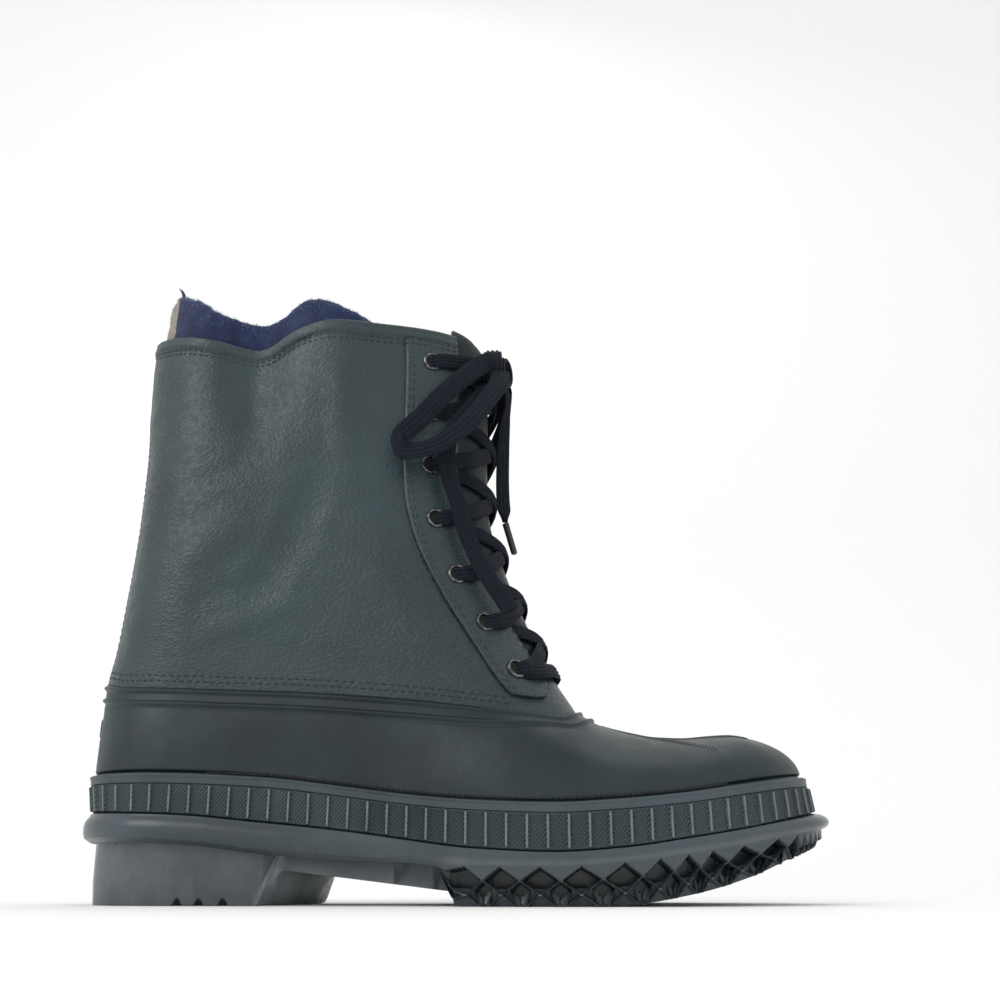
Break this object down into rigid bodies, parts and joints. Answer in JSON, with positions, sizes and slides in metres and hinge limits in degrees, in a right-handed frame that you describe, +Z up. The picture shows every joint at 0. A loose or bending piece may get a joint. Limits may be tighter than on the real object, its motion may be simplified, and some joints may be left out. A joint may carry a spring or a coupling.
{
  "type": "pac boot",
  "caption": "Tall lace-up pac boot for the right foot: rubber shell with ribbed rand and lugged heeled sole, leather shaft, padded tongue and felt liner standing above the collar.",
  "frame": {"origin": "middle of the boot's box at floor level, under the sole", "axes": "+X towards the toe, -Y towards the outer (lateral) side of the right foot, +Z up"},
  "size_m": [0.3249, 0.12, 0.2913],
  "materials": {
    "shell_rubber": "satin moulded rubber",
    "sole_rubber": "matte moulded rubber",
    "leg_leather": "pebbled, soft sheen",
    "liner_felt": "pressed felt",
    "eyelet_metal": "nickel plated",
    "lace_cord": "flat braid",
    "lace_tip": "smooth"
  },
  "bodies": {
    "root": {"upper": "shell_rubber", "rand": "shell_rubber", "outsole": "sole_rubber", "shaft": "leg_leather", "eyestay_lateral": "leg_leather", "eyestay_medial": "leg_leather", "tongue": "leg_leather", "liner": "liner_felt", "insole": "liner_felt", "eyelet_lateral_1": "eyelet_metal", "eyelet_lateral_2": "eyelet_metal", "eyelet_lateral_3": "eyelet_metal", "eyelet_lateral_4": "eyelet_metal", "eyelet_lateral_5": "eyelet_metal", "eyelet_lateral_6": "eyelet_metal", "eyelet_lateral_7": "eyelet_metal", "eyelet_medial_1": "eyelet_metal", "eyelet_medial_2": "eyelet_metal", "eyelet_medial_3": "eyelet_metal", "eyelet_medial_4": "eyelet_metal", "eyelet_medial_5": "eyelet_metal", "eyelet_medial_6": "eyelet_metal", "eyelet_medial_7": "eyelet_metal", "lace_crossings": "lace_cord", "lace_knot": "lace_cord", "lace_loop_lateral": "lace_cord", "lace_loop_medial": "lace_cord", "lace_end_lateral": "lace_cord", "lace_end_medial": "lace_cord", "aglet": "lace_tip"}
  },
  "joints": []
}
